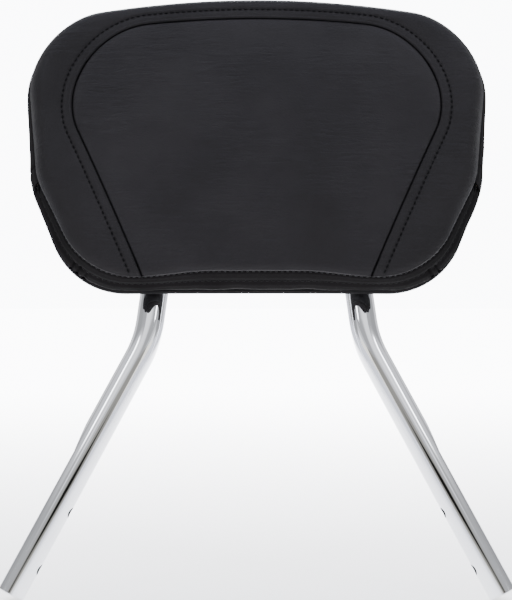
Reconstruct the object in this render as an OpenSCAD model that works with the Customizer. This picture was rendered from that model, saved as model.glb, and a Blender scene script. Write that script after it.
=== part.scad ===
// Sissy bar: a padded passenger backrest on a bent tube hoop with splayed, drilled legs.
// Everything is drawn flat: X to the right, Y up along the bar, Z towards the rider.
// as_fitted() then stands it up and leans it back. The origin is midway between the lower bolt holes.

/* [Upright hoop] */
// Outside diameter of the tube
tube_od = 22.2; // [20:0.1:26]
// Wall of the tube
tube_wall = 2; // [1.2:0.1:3]
// Lean of the whole backrest from upright, in degrees
rake = 14.5; // [0:0.5:25]
// Distance between the tube axes at the lower bolt holes
leg_span = 342.6; // [320:0.2:370]
// Splay of each leg, in degrees
leg_splay = 27; // [22:0.5:30]
// Straight run of each leg above its lower bolt hole
leg_run = 174; // [150:1:190]
// Radius of the bend at the tube's axis
bend_r = 88; // [50:1:110]
// Inward lean of the uprights above the bend, in degrees
upright_toe = 6.7; // [3:0.1:9]
// Height of the hoop's top above the pad's lower edge, at the tube's axis
hoop_rise = 186; // [178:1:194]

/* [Leg ends] */
// Distance from the lower bolt hole to the tube's end
end_margin = 25; // [16:0.5:35]
// Distance between the two bolt holes of a leg
hole_gap = 47; // [35:0.5:60]
// Diameter of the bolt holes
hole_d = 8.4; // [6:0.1:11]
// Depth to which the outer side is pressed flat
press_d = 3.4; // [1:0.1:5]
// Length of the pressed flat from the tube's end
flat_len = 113; // [100:1:130]
// Length of the ramp from the flat to the round tube
ramp_len = 27; // [15:1:35]
// Width of the rounding round the tube's end
end_round = 0.6; // [0.2:0.1:1.2]

/* [Pad outline] */
// Height of the pad's lower edge above the lower bolt holes
pad_lift = 202; // [195:1:230]
// Width of the pad at its shoulders
pad_w = 361; // [330:1:400]
// Height of the pad
pad_h = 234; // [215:1:260]
// Radius of the upper corners
shoulder_r = 55.5; // [40:0.5:65]
// Rise of the top edge between the upper corners
top_bow = 23.5; // [10:0.5:30]
// Width of the pad at its waist
waist_w = 353.5; // [335:0.5:360]
// Height of the waist above the lower edge
waist_y = 98.5; // [85:0.5:115]
// Radius of the sides at the waist
waist_r = 64.5; // [45:0.5:80]
// Width of the pad at its lower corners
low_w = 321.5; // [290:0.5:330]
// Radius of the lower corners
corner_r = 60; // [40:1:70]
// Rise of the lower edge at its middle
low_arch = 2.5; // [0:0.5:6]

/* [Pad front] */
// Inset of the front outline from the back outline at the shoulders
front_in_shoulder = 5; // [2:0.5:10]
// Inset of the front outline at the waist
front_in_waist = 8; // [2:0.5:12]
// Inset of the front outline at the lower corners
front_in_low = 11; // [2:0.5:14]
// Inset of the front outline at the top edge
front_in_top = 5.5; // [2:0.5:10]
// Inset of the front outline at the lower edge
front_in_bottom = 3; // [0:0.5:6]
// Height of the edge seam above the pad's back, low down
seam_h_low = 49; // [42:0.5:52]
// Height of the edge seam above the pad's back, high up
seam_h_top = 35; // [30:0.5:44]
// Height of the front's rim above the pad's back
rim_h = 53; // [50:0.5:60]
// Rise of the front from its rim to its middle
crown = 8; // [2:0.5:14]
// Width of the rounding inside the edge seam, high up
round_top = 14; // [8:0.5:20]
// Width of the rounding inside the edge seam, low down
round_low = 6; // [4:0.5:10]
// Outward bulge of the boxing
box_bulge = 3; // [0:0.5:6]

/* [Cover panels] */
// Thickness of the leather
leather_t = 1.5; // [1:0.1:2.2]
// Width of the centre panel at its widest
panel_w = 282.5; // [250:0.5:290]
// Width of the centre panel at the lower edge
panel_foot_w = 167; // [140:1:180]
// Radius of the centre panel's upper corners
panel_r = 57; // [35:1:62]
// Height of the centre panel above the lower edge
panel_h = 207; // [195:1:214]
// Rise of the centre panel's top edge between its corners
panel_bow = 13; // [8:1:24]
// Depth of the groove along the centre panel's seam
groove_d = 1.4; // [0.5:0.1:2.5]
// Half width of that groove
groove_w = 3.5; // [2:0.5:6]
// Height of the side joint between upper and lower boxing
joint_y = 80; // [60:1:110]
// Width of the cover's hem on the back of the board
hem_w = 18; // [12:1:24]

/* [Board and fixings] */
// Thickness of the back board
board_t = 10; // [8:0.5:14]
// Thickness of the back cover's rim
cover_t = 1.7; // [1.2:0.1:3]
// Width of a strap
strap_w = 30; // [22:1:40]
// Thickness of a strap
strap_t = 4; // [3:0.5:6]
// Overhang of a strap past the tube's axis
strap_over = 8; // [4:0.5:11]
// Height of the lower strap above the pad's lower edge
strap_low_y = 36; // [30:1:50]
// Height of the upper strap above the pad's lower edge
strap_high_y = 108; // [90:1:110]
// Leg of a weld bead
weld_leg = 3.2; // [2:0.1:5]
// Distance between the two pad bolts of a strap
bolt_gap = 80; // [50:1:90]
// Thread diameter of the pad bolts
bolt_d = 6; // [5:0.5:8]

/* [Hidden] */
$fn = 64;

// The straight runs of the tube lap into its bends, which the bending leaves a little fuller
lap = 1;
fuller = 0.02;

// Fits and gaps
clear = 0.3;
seam_gap = 0.3;
hole_clear = 0.5;

// Standard proportions of the fasteners, from the thread diameter
head_af = 1.67 * bolt_d;
head_h = 0.67 * bolt_d;
washer_d = 2 * bolt_d;
washer_t = 0.27 * bolt_d;
spring_t = 0.27 * bolt_d;
spring_d = 1.8 * bolt_d;
nut_flange_d = 3 * bolt_d;
nut_flange_t = 1.6;
nut_barrel_d = 1.3 * bolt_d;
nut_barrel_l = 0.75 * board_t - nut_flange_t;
thread_clear = 0.1;

// Depths, from the tube's axis towards the rider
tube_r = tube_od / 2;
bore_r = tube_r - tube_wall;
strap_z = tube_r;
back_z = strap_z + strap_t;
hem_z = back_z + cover_t;
board_z = hem_z + leather_t;
join_z = board_z + board_t;

// The hoop's centre line, right half, from the leg's end to the top
leg_up = [-sin(leg_splay), cos(leg_splay)];
leg_out = [cos(leg_splay), sin(leg_splay)];
upright_out = [cos(upright_toe), sin(upright_toe)];
foot = [leg_span / 2, 0];
foot_end = foot - end_margin * leg_up;
bend_low = foot + leg_run * leg_up;
bend_c = bend_low + bend_r * leg_out;
bend_high = bend_c - bend_r * upright_out;
hoop_top = pad_lift + hoop_rise;
arc_r = (bend_high.x * cos(upright_toe) - (hoop_top - bend_high.y) * sin(upright_toe))
        / (1 - sin(upright_toe));
arc_c = [0, hoop_top - arc_r];
arc_foot = arc_c + arc_r * upright_out;

// Half width of the uprights' axes at a height
function upright_x(y) = bend_high.x - (y - bend_high.y) * tan(upright_toe);

module as_fitted() {
  rotate([90 - rake, 0, 0]) children();
}

module both_sides() {
  children();
  mirror([1, 0, 0]) children();
}

// Frame of the right leg: X points out of its pressed side, Y up along it, from the tube's end
module leg_frame() {
  translate(foot_end) rotate([0, 0, leg_splay]) children();
}

module rod(r, len) {
  rotate([-90, 0, 0]) cylinder(h = len, r = r);
}

module bend(path_r, r, turn) {
  rotate_extrude(angle = turn) translate([path_r, 0]) circle(r + fuller);
}

module uprights(r) {
  both_sides() translate(bend_high) rotate([0, 0, upright_toe]) translate([0, -lap, 0])
    rod(r, norm(arc_foot - bend_high) + 2 * lap);
}

// The inverted U above the legs
module upper_rod(r) {
  uprights(r);
  translate(arc_c) rotate([0, 0, upright_toe]) bend(arc_r, r, 180 - 2 * upright_toe);
}

// Solid rod of radius r along the hoop's whole centre line, run on past the ends by extra
module hoop_rod(r, extra) {
  both_sides() {
    leg_frame() translate([0, -extra, 0]) rod(r, leg_run + end_margin + extra + lap);
    translate(bend_c) rotate([0, 0, 180 + upright_toe]) bend(bend_r, r, leg_splay - upright_toe);
  }
  upper_rod(r);
}

// What the press takes off the outer side of a rod of radius r: a flat with a ramp above it
module pressed_off(r) {
  reach = 2 * tube_od;
  both_sides() leg_frame() translate([0, 0, -tube_od]) linear_extrude(2 * tube_od)
    polygon([[r - press_d, -tube_od], [r - press_d, flat_len], [r, flat_len + ramp_len],
             [r + reach, flat_len + ramp_len], [r + reach, -tube_od]]);
}

module pressed_rod(r, extra) {
  difference() {
    hoop_rod(r, extra);
    pressed_off(r);
  }
}

// What the deburring takes off a tube's end: all that is outside a ball
module end_cuts() {
  both_sides() leg_frame() difference() {
    translate([0, -1, 0]) rod(tube_r + 1, 1 + end_round);
    translate([0, tube_r, 0]) sphere(norm([tube_r - end_round, tube_r]));
  }
}

module bolt_holes() {
  both_sides() leg_frame() for (y = [end_margin, end_margin + hole_gap])
    translate([-tube_od, y, 0]) rotate([0, 90, 0]) cylinder(h = 2 * tube_od, d = hole_d);
}

module upright_hoop() {
  color([0.78, 0.79, 0.82]) as_fitted() difference() {
    pressed_rod(tube_r, 0);
    pressed_rod(bore_r, 1);
    end_cuts();
    bolt_holes();
  }
}

// Places of the pad bolts of one strap
module at_strap_bolts(y) {
  for (s = [-1, 1]) translate([s * bolt_gap / 2, pad_lift + y, 0]) children();
}

module at_pad_bolts() {
  for (y = [strap_low_y, strap_high_y]) at_strap_bolts(y) children();
}

// Flat bar across the hoop's front, its ends cut parallel to the uprights and rounded
module strap_blank(y) {
  mid = pad_lift + y;
  top_x = upright_x(mid + strap_w / 2) + strap_over;
  low_x = upright_x(mid - strap_w / 2) + strap_over;
  translate([0, mid, strap_z]) linear_extrude(strap_t)
    polygon([[-low_x, -strap_w / 2], [low_x, -strap_w / 2], [top_x, strap_w / 2], [-top_x, strap_w / 2]]);
}

module strap(y) {
  difference() {
    strap_blank(y);
    at_strap_bolts(y) translate([0, 0, strap_z - 1]) cylinder(h = strap_t + 2, d = bolt_d + 2 * hole_clear);
  }
}

module lower_strap() {
  color([0.7, 0.71, 0.74]) as_fitted() strap(strap_low_y);
}

module upper_strap() {
  color([0.7, 0.71, 0.74]) as_fitted() strap(strap_high_y);
}

// A bead lies over the tube's front along each long edge of a strap
module weld_bead(y) {
  bead_l = 0.75 * tube_od;
  difference() {
    translate([upright_x(y) - bead_l / 2, y, strap_z]) rotate([0, 90, 0]) cylinder(h = bead_l, r = weld_leg);
    upper_rod(tube_r);
    strap_blank(strap_low_y);
    strap_blank(strap_high_y);
  }
}

module strap_welds() {
  color([0.66, 0.67, 0.7]) as_fitted() both_sides()
    for (y = [strap_low_y, strap_high_y], e = [-1, 1]) weld_bead(pad_lift + y + e * strap_w / 2);
}

// Outlines of the pad: circles [x, y, r] of the right half, wrapped by a taut line

flat_h = pad_h - top_bow;
back_circles = [[low_w / 2 - corner_r, corner_r, corner_r],
                [waist_w / 2 - waist_r, waist_y, waist_r],
                [pad_w / 2 - shoulder_r, flat_h - shoulder_r, shoulder_r]];
front_circles = [[low_w / 2 - front_in_low - corner_r, front_in_bottom + corner_r, corner_r],
                 [waist_w / 2 - front_in_waist - waist_r, waist_y, waist_r],
                 [pad_w / 2 - front_in_shoulder - shoulder_r, flat_h - front_in_top - shoulder_r, shoulder_r]];

// Each side of the centre panel is a line through its foot that touches the circle of the upper
// corner. It runs on below the lower edge to a small circle.
panel_flat_h = panel_h - panel_bow;
panel_corner = [panel_w / 2 - panel_r, panel_flat_h - panel_r];
panel_over = panel_corner.x - panel_foot_w / 2;
panel_slope = (panel_corner.y * panel_over
               + panel_r * sqrt(pow(panel_corner.y, 2) + pow(panel_over, 2) - pow(panel_r, 2)))
              / (pow(panel_corner.y, 2) - pow(panel_r, 2));
panel_low_r = 10;
panel_low_y = -25;
panel_low_x = panel_foot_w / 2 + panel_low_y * panel_slope - panel_low_r * norm([1, panel_slope]);
panel_circles = [[panel_low_x, panel_low_y, panel_low_r], [panel_corner.x, panel_corner.y, panel_r]];

function touching(circles, a) =
  let (reach = [for (c = circles) c[0] * cos(a) + c[1] * sin(a) + c[2]],
       k = search(max(reach), reach)[0])
  [circles[k][0] + circles[k][2] * cos(a), circles[k][1] + circles[k][2] * sin(a)];

function half_wrap(circles) =
  concat([[0, touching(circles, -90).y]],
         [for (a = [-90:3:90]) touching(circles, a)],
         [[0, touching(circles, 90).y]]);

function lengths(p) =
  [for (i = 0, s = 0; i < len(p); s = s + (i + 1 < len(p) ? norm(p[i + 1] - p[i]) : 0), i = i + 1) s];

// Bow of the top edge and arch of the lower edge, between the corners
function bowed(p, w, h, bow, arch) =
  let (t = max(0, min(1, p.y / h)), across = 1 - pow(min(1, abs(p.x) / (w / 2)), 2))
  [p.x, p.y + across * (t * bow + (1 - t) * arch)];

// Points at given shares of a taut line's length
function along(p, shares) =
  let (s = lengths(p), total = s[len(s) - 1],
       xs = [for (i = [0:len(p) - 1]) [s[i], p[i].x]],
       ys = [for (i = [0:len(p) - 1]) [s[i], p[i].y]])
  [for (t = shares) [lookup(t * total, xs), lookup(t * total, ys)]];

function half_outline(circles, shares) =
  [for (p = along(half_wrap(circles), shares)) bowed(p, pad_w, flat_h, top_bow, low_arch)];

function whole(half) =
  let (n = len(half) - 1)
  concat(half, [for (i = [n - 1:-1:1]) [-half[i].x, half[i].y]]);

// Shares of the front outline's length at the centre panel's seam and at the boxing's side joint
front_wrap = half_wrap(front_circles);
front_s = lengths(front_wrap);
front_len = front_s[len(front_s) - 1];
foot_x = panel_foot_w / 2
         + panel_slope * (front_in_bottom + low_arch * (1 - pow(panel_foot_w / pad_w, 2)));
seam_share = foot_x / front_len;
joint_share = lookup(joint_y, [for (i = [3:len(front_wrap) - 1]) [front_wrap[i].y, front_s[i]]]) / front_len;
gap_share = seam_gap / front_len;

// Columns run round the pad from the middle of the lower edge, rightwards first.
// A column pair that is one gap apart stands at each seam that crosses the edge.
seam_col = 7;
side_cols = 11;
top_cols = 22;
joint_col = seam_col + 1 + side_cols;
shares = concat([for (i = [0:seam_col]) seam_share * i / seam_col],
                [for (i = [0:side_cols]) seam_share + gap_share
                                         + (joint_share - seam_share - gap_share) * i / side_cols],
                [for (i = [0:top_cols]) joint_share + gap_share + (1 - joint_share - gap_share) * i / top_cols]);
half_cols = len(shares) - 1;
cols = 2 * half_cols;

back_line = whole(half_outline(back_circles, shares));
front_line = whole(half_outline(front_circles, shares));

function unit(v) = v / norm(v);

// Neighbours of a column; the two columns of a close pair share theirs
pair_cols = [seam_col, joint_col, cols - joint_col - 1, cols - seam_col - 1];
function is_pair(i) = len([for (c = pair_cols) if (c == i) c]) > 0;
function is_foot(i) = i == seam_col || i == seam_col + 1 || i == cols - seam_col || i == cols - seam_col - 1;
function next_col(i) = (i + (is_pair(i) ? 2 : 1)) % cols;
function prev_col(i) = (i + cols - (is_pair(i - 1) ? 2 : 1)) % cols;

function side_normal(line, i) =
  let (d = line[next_col(i)] - line[prev_col(i)]) unit([d.y, -d.x]);
back_normals = [for (i = [0:cols - 1]) side_normal(back_line, i)];
front_normals = [for (i = [0:cols - 1]) side_normal(front_line, i)];

// The front is crowned about this point
mid = [0, pad_h / 2];

// Centre panel's seam from mid: its reach by angle and its half width by height
panel_wrap = [for (p = along(half_wrap(panel_circles), [0:1/90:1]))
              bowed(p, panel_w, panel_flat_h, panel_bow, 0) - mid];
panel_reach = [for (p = panel_wrap) [atan2(p.y, p.x), norm(p)]];
panel_side = [for (p = panel_wrap) [p.y, p.x]];

function blend(t) = t * t * (3 - 2 * t);
function lowness(y) = blend(max(0, min(1, 1 - y / (pad_h / 2))));
function mix(a, b, t) = a + (b - a) * t;
function at_z(p, z) = [p.x, p.y, z];

// Near the feet of the centre panel's seam the rounding leans with the seam, less and less away from it
foot_spread = 30;
function lean_at(f) =
  f.y > mid.y ? 0
  : sign(f.x) * panel_slope * max(0, 1 - abs(abs(f.x) - foot_x) / foot_spread);
function leaned(p, f) = [p.x + lean_at(f) * (p.y - f.y), p.y];

// Plan points, from mid, of the stations next to the seam of the centre panel: two on the border
// before it, one on each side of it and one inside it
function seam_stations(i, ray) =
  let (u = unit(ray),
       seam = u * min(norm(ray) - 1.2 * groove_w, lookup(atan2(ray.y, abs(ray.x)), panel_reach)))
  [(ray + seam + u * groove_w) / 2, seam + u * groove_w,
   seam + u * seam_gap / 2, seam - u * seam_gap / 2, seam - u * groove_w];

// The same in the columns at the seam's feet, which run along the seam
function foot_stations(i, ray) =
  let (h = ray.y + 0.9 * groove_w,
       seam = [sign(ray.x) * lookup(h, panel_side), h],
       up = unit([sign(ray.x) * panel_slope, 1]),
       across = unit([sign(ray.x), -panel_slope]) * seam_gap / 2,
       inner = i == seam_col || i == cols - seam_col,
       step = 0.15 * groove_w,
       before = inner ? seam - across - up * step : seam + across,
       after = inner ? seam - across : seam - across + up * step)
  [mix(ray, before, 1 / 3), mix(ray, before, 2 / 3), before, after, after - unit(seam) * groove_w];

// One column of the pad's outer surface, from the back edge of the boxing to the crown.
// Stations: 0 to 4 boxing, 5 to 9 rounding, 10 to 12 border, 13 to 16 centre panel.
function column(i) =
  let (b = back_line[i], f = front_line[i], n = front_normals[i],
       low = lowness(f.y),
       seam_z = back_z + mix(seam_h_top, seam_h_low, low),
       rim_z = back_z + rim_h,
       round_w = mix(round_top, round_low, low),
       tuck = 25,
       ray = leaned(f + n * round_w * (cos(90) - cos(tuck)), f) - mid,
       on_border = i >= seam_col && i <= cols - seam_col,
       dip = on_border ? groove_d : 0,
       s = is_foot(i) ? foot_stations(i, ray) : seam_stations(i, ray))
  concat(
    [for (t = [0:0.25:1]) at_z(mix(b, f, t) + n * box_bulge * 4 * t * (1 - t),
                               mix(join_z + seam_gap / 2, seam_z - seam_gap / 2, t))],
    [for (a = [-tuck, 5, 35, 62, 90])
       at_z(leaned(f + n * round_w * (cos(a) - cos(tuck)), f),
            seam_z + seam_gap / 2 + (rim_z - seam_z) * (sin(a) + sin(tuck)) / (1 + sin(tuck)))],
    [for (k = [0:4]) crowned(s[k], norm(ray), k == 2 || k == 3 ? dip : 0)],
    [crowned(0.65 * s[4], norm(ray), 0), crowned(0.32 * s[4], norm(ray), 0)]);

// Point of the crowned front at v from mid, in a column whose rim lies at reach
function crowned(v, reach, dip) =
  at_z(mid + v, back_z + rim_h + crown * (1 - pow(norm(v) / reach, 2)) - dip);

surface = [for (i = [0:cols - 1]) column(i)];
stations = len(surface[0]);
peak = at_z(mid, back_z + rim_h + crown);

function surface_normal(i, j) =
  let (round_d = surface[next_col(i)][j] - surface[prev_col(i)][j],
       in_d = (j + 1 < stations ? surface[i][j + 1] : peak) - surface[i][max(0, j - 1)])
  unit(cross(round_d, in_d));
normals = [for (i = [0:cols - 1]) [for (j = [0:stations - 1]) surface_normal(i, j)]];

// Point of the surface sunk by depth: square to the sides and the rounding, straight down on the front
function sunk(i, j, depth) = surface[i][j] - (j > 8 ? [0, 0, 1] : normals[i][j]) * depth;

// Leather panel over the cells that belong to it: owns(i, j) is true for the cell between
// columns i and i + 1 and stations j and j + 1. The last cells close on the peak.
module panel(owns) {
  inner = cols * stations + 1;
  last = stations - 1;
  function id(i, j) = j > last ? cols * stations : j * cols + i % cols;
  points = concat([for (j = [0:last], i = [0:cols - 1]) surface[i][j]], [peak],
                  [for (j = [0:last], i = [0:cols - 1]) sunk(i, j, leather_t)],
                  [peak - [0, 0, leather_t]]);
  function has(i, j) = j >= 0 && owns((i + cols) % cols, j);
  function wall(a, b) = [[a, b, b + inner], [a, b + inner, a + inner]];
  faces = [for (j = [0:last], i = [0:cols - 1]) if (has(i, j))
    let (a = id(i, j), b = id(i + 1, j), c = id(i + 1, j + 1), d = id(i, j + 1))
    each concat(
      [[a, c, b], [a + inner, b + inner, c + inner]],
      j < last ? [[a, d, c], [a + inner, c + inner, d + inner]] : [],
      has(i, j - 1) ? [] : wall(a, b),
      has(i + 1, j) ? [] : wall(b, c),
      j == last || has(i, j + 1) ? [] : wall(c, d),
      has(i - 1, j) ? [] : wall(d, a))];
  polyhedron(points, faces);
}

// Cells of each panel
boxing_cells = 4;
rim_cell = 5;
seam_cell = 12;
function below(i, c) = i < c || i > cols - c - 1;
function above(i, c) = i > c && i < cols - c - 1;

module lower_boxing() {
  color([0.13, 0.13, 0.14]) as_fitted() on_bar()
    panel(function (i, j) j < boxing_cells && below(i, joint_col));
}

module upper_boxing() {
  color([0.13, 0.13, 0.14]) as_fitted() on_bar()
    panel(function (i, j) j < boxing_cells && above(i, joint_col));
}

module border_panel() {
  color([0.17, 0.17, 0.18]) as_fitted() on_bar()
    panel(function (i, j) j >= rim_cell && j < seam_cell && above(i, seam_col));
}

module centre_panel() {
  color([0.2, 0.2, 0.21]) as_fitted() on_bar()
    panel(function (i, j) j > seam_cell || (j >= rim_cell && below(i, seam_col)));
}

// Places the pad, drawn from its own lower edge, on the bar
module on_bar() {
  translate([0, pad_lift, 0]) children();
}

function inset(line, normals, by) = [for (i = [0:cols - 1]) line[i] - normals[i] * by];

// Closed body of rings of points. A fan to the point low closes the first ring, one to high the last.
module closed_heap(rings, low, high) {
  n = len(rings[0]);
  m = len(rings);
  points = concat([for (r = rings) each r], [low, high]);
  faces = [for (i = [0:n - 1])
    let (k = (i + 1) % n, last = (m - 1) * n)
    each concat([[k, m * n, i], [last + i, m * n + 1, last + k]],
                [for (j = [0:m - 2])
                  let (a = j * n + i, b = j * n + k)
                  each [[a, b + n, b], [a, a + n, b + n]]])];
  polyhedron(points, faces);
}

// The foam fills the cover and stands on the board. It skips the second column of each close pair
// and lies deeper where the seams are drawn in.
foam_cols = [for (i = [0:cols - 1]) if (!is_pair(i - 1)) i];
foam_stations = [1, 2, 3, 4, 6, 7, 8, 9, 11, 14, 15, 16];
deep_stations = [4, 6, 11, 14];
function foam_sink(j) = leather_t + clear + (len(search(j, deep_stations)) > 0 ? groove_d : 0);

module foam_pad() {
  foot_ring = [for (i = foam_cols) at_z(sunk(i, 0, foam_sink(0)), join_z)];
  rings = [for (j = foam_stations) [for (i = foam_cols) sunk(i, j, foam_sink(j))]];
  color([0.85, 0.78, 0.5]) as_fitted() on_bar()
    closed_heap(concat([foot_ring], rings), at_z(mid, join_z), peak - [0, 0, foam_sink(16)]);
}

// Narrow strip sewn to the boxing, pulled round the board's edge and fixed on its back
module edge_binding() {
  bead = 0.8;
  top = join_z - seam_gap / 2;
  section = [[0, top], [bead, (top + board_z) / 2], [0, board_z],
             [-0.3 * leather_t, board_z - 0.7 * leather_t], [-leather_t - clear, hem_z],
             [-hem_w, hem_z], [-hem_w, board_z], [-leather_t, board_z], [-leather_t, top]];
  n = len(section);
  points = [for (i = [0:cols - 1], s = section) at_z(back_line[i] + back_normals[i] * s[0], s[1])];
  faces = [for (i = [0:cols - 1], j = [0:n - 1])
    let (a = i * n + j, b = i * n + (j + 1) % n, c = ((i + 1) % cols) * n + (j + 1) % n, d = ((i + 1) % cols) * n + j)
    each [[a, d, c], [a, c, b]]];
  color([0.12, 0.12, 0.13]) as_fitted() on_bar() polyhedron(points, faces);
}

module plate(by, z, t) {
  translate([0, 0, z]) linear_extrude(t) polygon(inset(back_line, back_normals, by));
}

module back_board() {
  color([0.72, 0.58, 0.4]) as_fitted() difference() {
    on_bar() plate(leather_t + clear, board_z, board_t);
    at_pad_bolts() translate([0, 0, board_z - 1]) cylinder(h = board_t + 2, d = nut_barrel_d + clear);
    at_pad_bolts() translate([0, 0, join_z - nut_flange_t]) cylinder(h = nut_flange_t + 1, d = nut_flange_d + clear);
  }
}

// Panel that closes the back: a thin rim over the hem and a thicker middle on the board
module back_cover() {
  rim_in = 6;
  color([0.11, 0.11, 0.12]) as_fitted() difference() {
    on_bar() {
      plate(rim_in, back_z, cover_t);
      plate(hem_w + clear, back_z + cover_t / 2, cover_t / 2 + leather_t);
    }
    at_pad_bolts() translate([0, 0, back_z - 1]) cylinder(h = cover_t + leather_t + 2, d = bolt_d + 2 * hole_clear);
  }
}

module tee_nuts() {
  color([0.75, 0.7, 0.5]) as_fitted() at_pad_bolts() difference() {
    union() {
      translate([0, 0, join_z - nut_flange_t]) cylinder(h = nut_flange_t, d = nut_flange_d);
      translate([0, 0, join_z - nut_flange_t - nut_barrel_l]) cylinder(h = nut_barrel_l, d = nut_barrel_d);
    }
    translate([0, 0, board_z]) cylinder(h = board_t + 1, d = bolt_d + 2 * thread_clear);
  }
}

washer_z = strap_z - washer_t;
spring_z = washer_z - spring_t;
head_z = spring_z - head_h;

module flat_washers() {
  color([0.7, 0.71, 0.73]) as_fitted() at_pad_bolts() translate([0, 0, washer_z]) difference() {
    cylinder(h = washer_t, d = washer_d);
    translate([0, 0, -1]) cylinder(h = washer_t + 2, d = bolt_d + hole_clear);
  }
}

// Split spring washer
module lock_washers() {
  slit = 1;
  color([0.6, 0.6, 0.62]) as_fitted() at_pad_bolts() translate([0, 0, spring_z]) difference() {
    cylinder(h = spring_t, d = spring_d);
    translate([0, 0, -1]) cylinder(h = spring_t + 2, d = bolt_d + hole_clear);
    translate([0, -slit / 2, -1]) cube([spring_d, slit, spring_t + 2]);
  }
}

module pad_bolts() {
  corner_d = head_af / cos(30);
  color([0.74, 0.75, 0.77]) as_fitted() at_pad_bolts() {
    translate([0, 0, head_z]) intersection() {
      cylinder(h = head_h, d = corner_d, $fn = 6);
      cylinder(h = head_h, d1 = head_af * 0.95, d2 = head_af * 0.95 + 4 * head_h);
    }
    translate([0, 0, spring_z]) cylinder(h = join_z - clear - spring_z, d = bolt_d);
  }
}

upright_hoop();
lower_strap();
upper_strap();
strap_welds();
back_cover();
back_board();
foam_pad();
centre_panel();
border_panel();
lower_boxing();
upper_boxing();
edge_binding();
tee_nuts();
pad_bolts();
lock_washers();
flat_washers();
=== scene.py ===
# %% [markdown]
# # A padded backrest on a chromed hoop
# The CAD frame comes in first. It holds every solid in its place, in metres: the bent tube, the two
# straps, the board, the fixings, and plain stand-ins for the leather panels. The steel parts stay
# and only get a finish. The cover is sewn leather, so its panels are made again here in finer form.

# %% load the frame
import math

import bpy
import numpy as np
from mathutils import Matrix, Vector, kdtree


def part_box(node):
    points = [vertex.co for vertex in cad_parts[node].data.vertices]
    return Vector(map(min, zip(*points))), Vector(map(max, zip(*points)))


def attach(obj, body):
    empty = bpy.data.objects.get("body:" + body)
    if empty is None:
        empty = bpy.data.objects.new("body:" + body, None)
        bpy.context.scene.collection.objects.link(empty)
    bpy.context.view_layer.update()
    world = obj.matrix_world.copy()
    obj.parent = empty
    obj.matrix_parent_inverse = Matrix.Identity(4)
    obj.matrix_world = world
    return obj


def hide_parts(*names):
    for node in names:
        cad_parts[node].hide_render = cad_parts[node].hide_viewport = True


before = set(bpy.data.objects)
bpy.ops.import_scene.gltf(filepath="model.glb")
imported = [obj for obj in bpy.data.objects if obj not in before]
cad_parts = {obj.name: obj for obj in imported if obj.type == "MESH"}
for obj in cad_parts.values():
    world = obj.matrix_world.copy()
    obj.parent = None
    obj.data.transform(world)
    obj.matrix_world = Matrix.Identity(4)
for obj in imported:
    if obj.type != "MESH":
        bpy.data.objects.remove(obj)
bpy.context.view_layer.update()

print("nodes:", ", ".join(sorted(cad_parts)))

# %% [markdown]
# ## Where things are
# The backrest leans back. It is easier to shape a pad lying flat, so all the forms below are drawn
# in millimetres on a flat table: x to the right, h up from the pad's lower edge, z towards the
# rider from the tube's axis. `stand_up` turns such points into the frame's metres.

# %% from the flat drawing to the leaning bar
LEAN = math.radians(14.5)
PAD_LIFT = 202.0


def stand_up(points):
    p = np.asarray(points, float)
    y = p[..., 1] + PAD_LIFT
    world = np.stack([p[..., 0],
                      y * math.sin(LEAN) - p[..., 2] * math.cos(LEAN),
                      y * math.cos(LEAN) + p[..., 2] * math.sin(LEAN)], axis=-1)
    return world / 1000.0


print("middle of the pad's lower edge:", stand_up([0, 0, 0]).round(4))

# %% [markdown]
# ## The outlines
# A pad like this is cut round a template: straight runs between rounded corners. A free curve could
# trace it, but then no size could be changed by itself. Here the outline is a line drawn taut round
# three circles on each side, with a little bow added along the top and the bottom. The back outline
# is that of the board, and the front outline is the seam where the front meets the boxing, a few
# millimetres smaller. `Outline` walks such a line: 0 is the middle of the lower edge, 1 the middle of
# the top, and a minus sign means the left side.

# %% outlines of the pad and of the centre panel
PAD_W, PAD_H, TOP_BOW, LOW_ARCH = 361.0, 235.3, 23.3, 1.0
FLAT_H = PAD_H - TOP_BOW
PULL_END, PULL_FULL = 88.0, 33.0  # from the middle: where the pull starts and where it is full


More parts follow.
